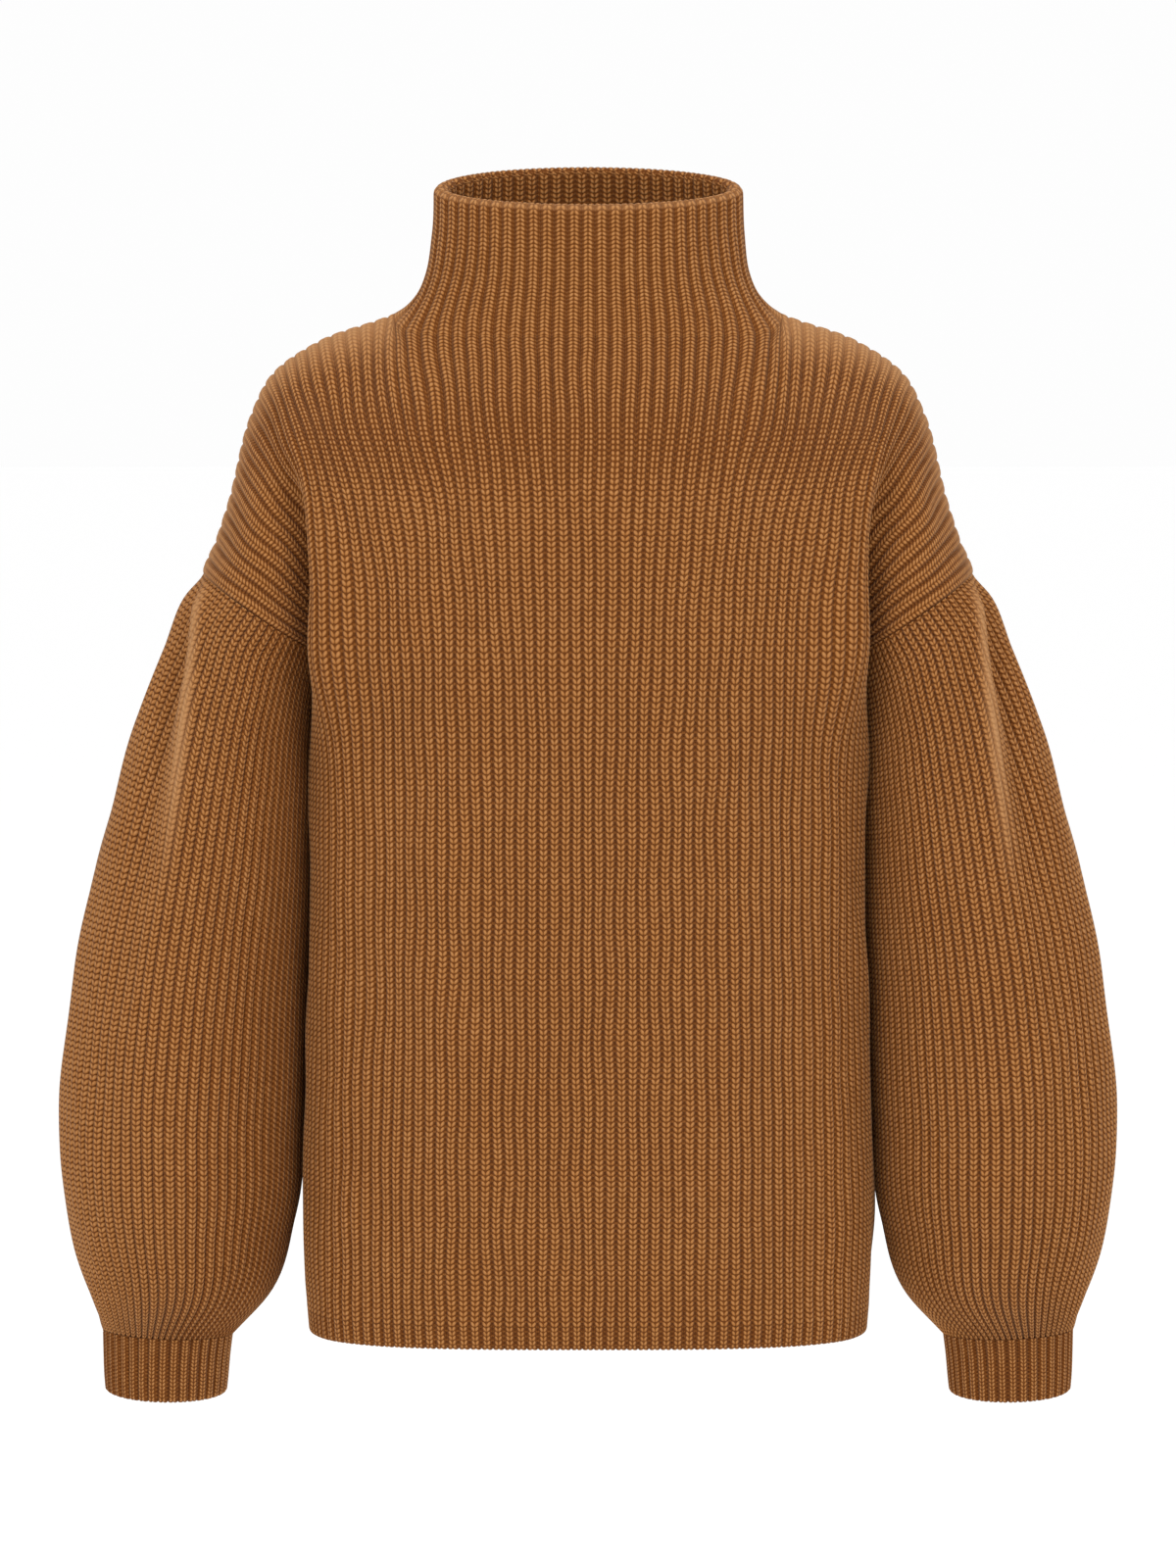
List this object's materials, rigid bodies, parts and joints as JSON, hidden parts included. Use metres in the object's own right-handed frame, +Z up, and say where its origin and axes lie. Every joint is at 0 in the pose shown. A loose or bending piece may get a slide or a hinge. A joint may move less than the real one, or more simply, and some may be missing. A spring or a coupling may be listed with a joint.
{
  "type": "funnel neck sweater",
  "caption": "Chunky rib-knit funnel neck sweater with dropped shoulders, balloon sleeves and ribbed cuffs, filled out as worn and open at neck, hem and cuffs.",
  "frame": {"origin": "between the wearer's shoulders at the base of the funnel neck, on the middle plane, level with the tops of the shoulders", "axes": "+Z up, the front faces -Y, +X towards the wearer's left sleeve"},
  "size_m": [0.6462, 0.2218, 0.7525],
  "materials": {
    "rib_knit": "matte camel-brown wool in a chunky half-cardigan rib, with a soft fuzz",
    "firm_rib": "the same wool, knitted firmer for the neck, cuffs and hem"
  },
  "bodies": {
    "root": {"front": "rib_knit", "back": "rib_knit", "funnel_neck": "firm_rib", "sleeve_left": "rib_knit", "sleeve_right": "rib_knit", "cuff_left": "firm_rib", "cuff_right": "firm_rib", "hem_rib": "firm_rib"}
  },
  "joints": []
}
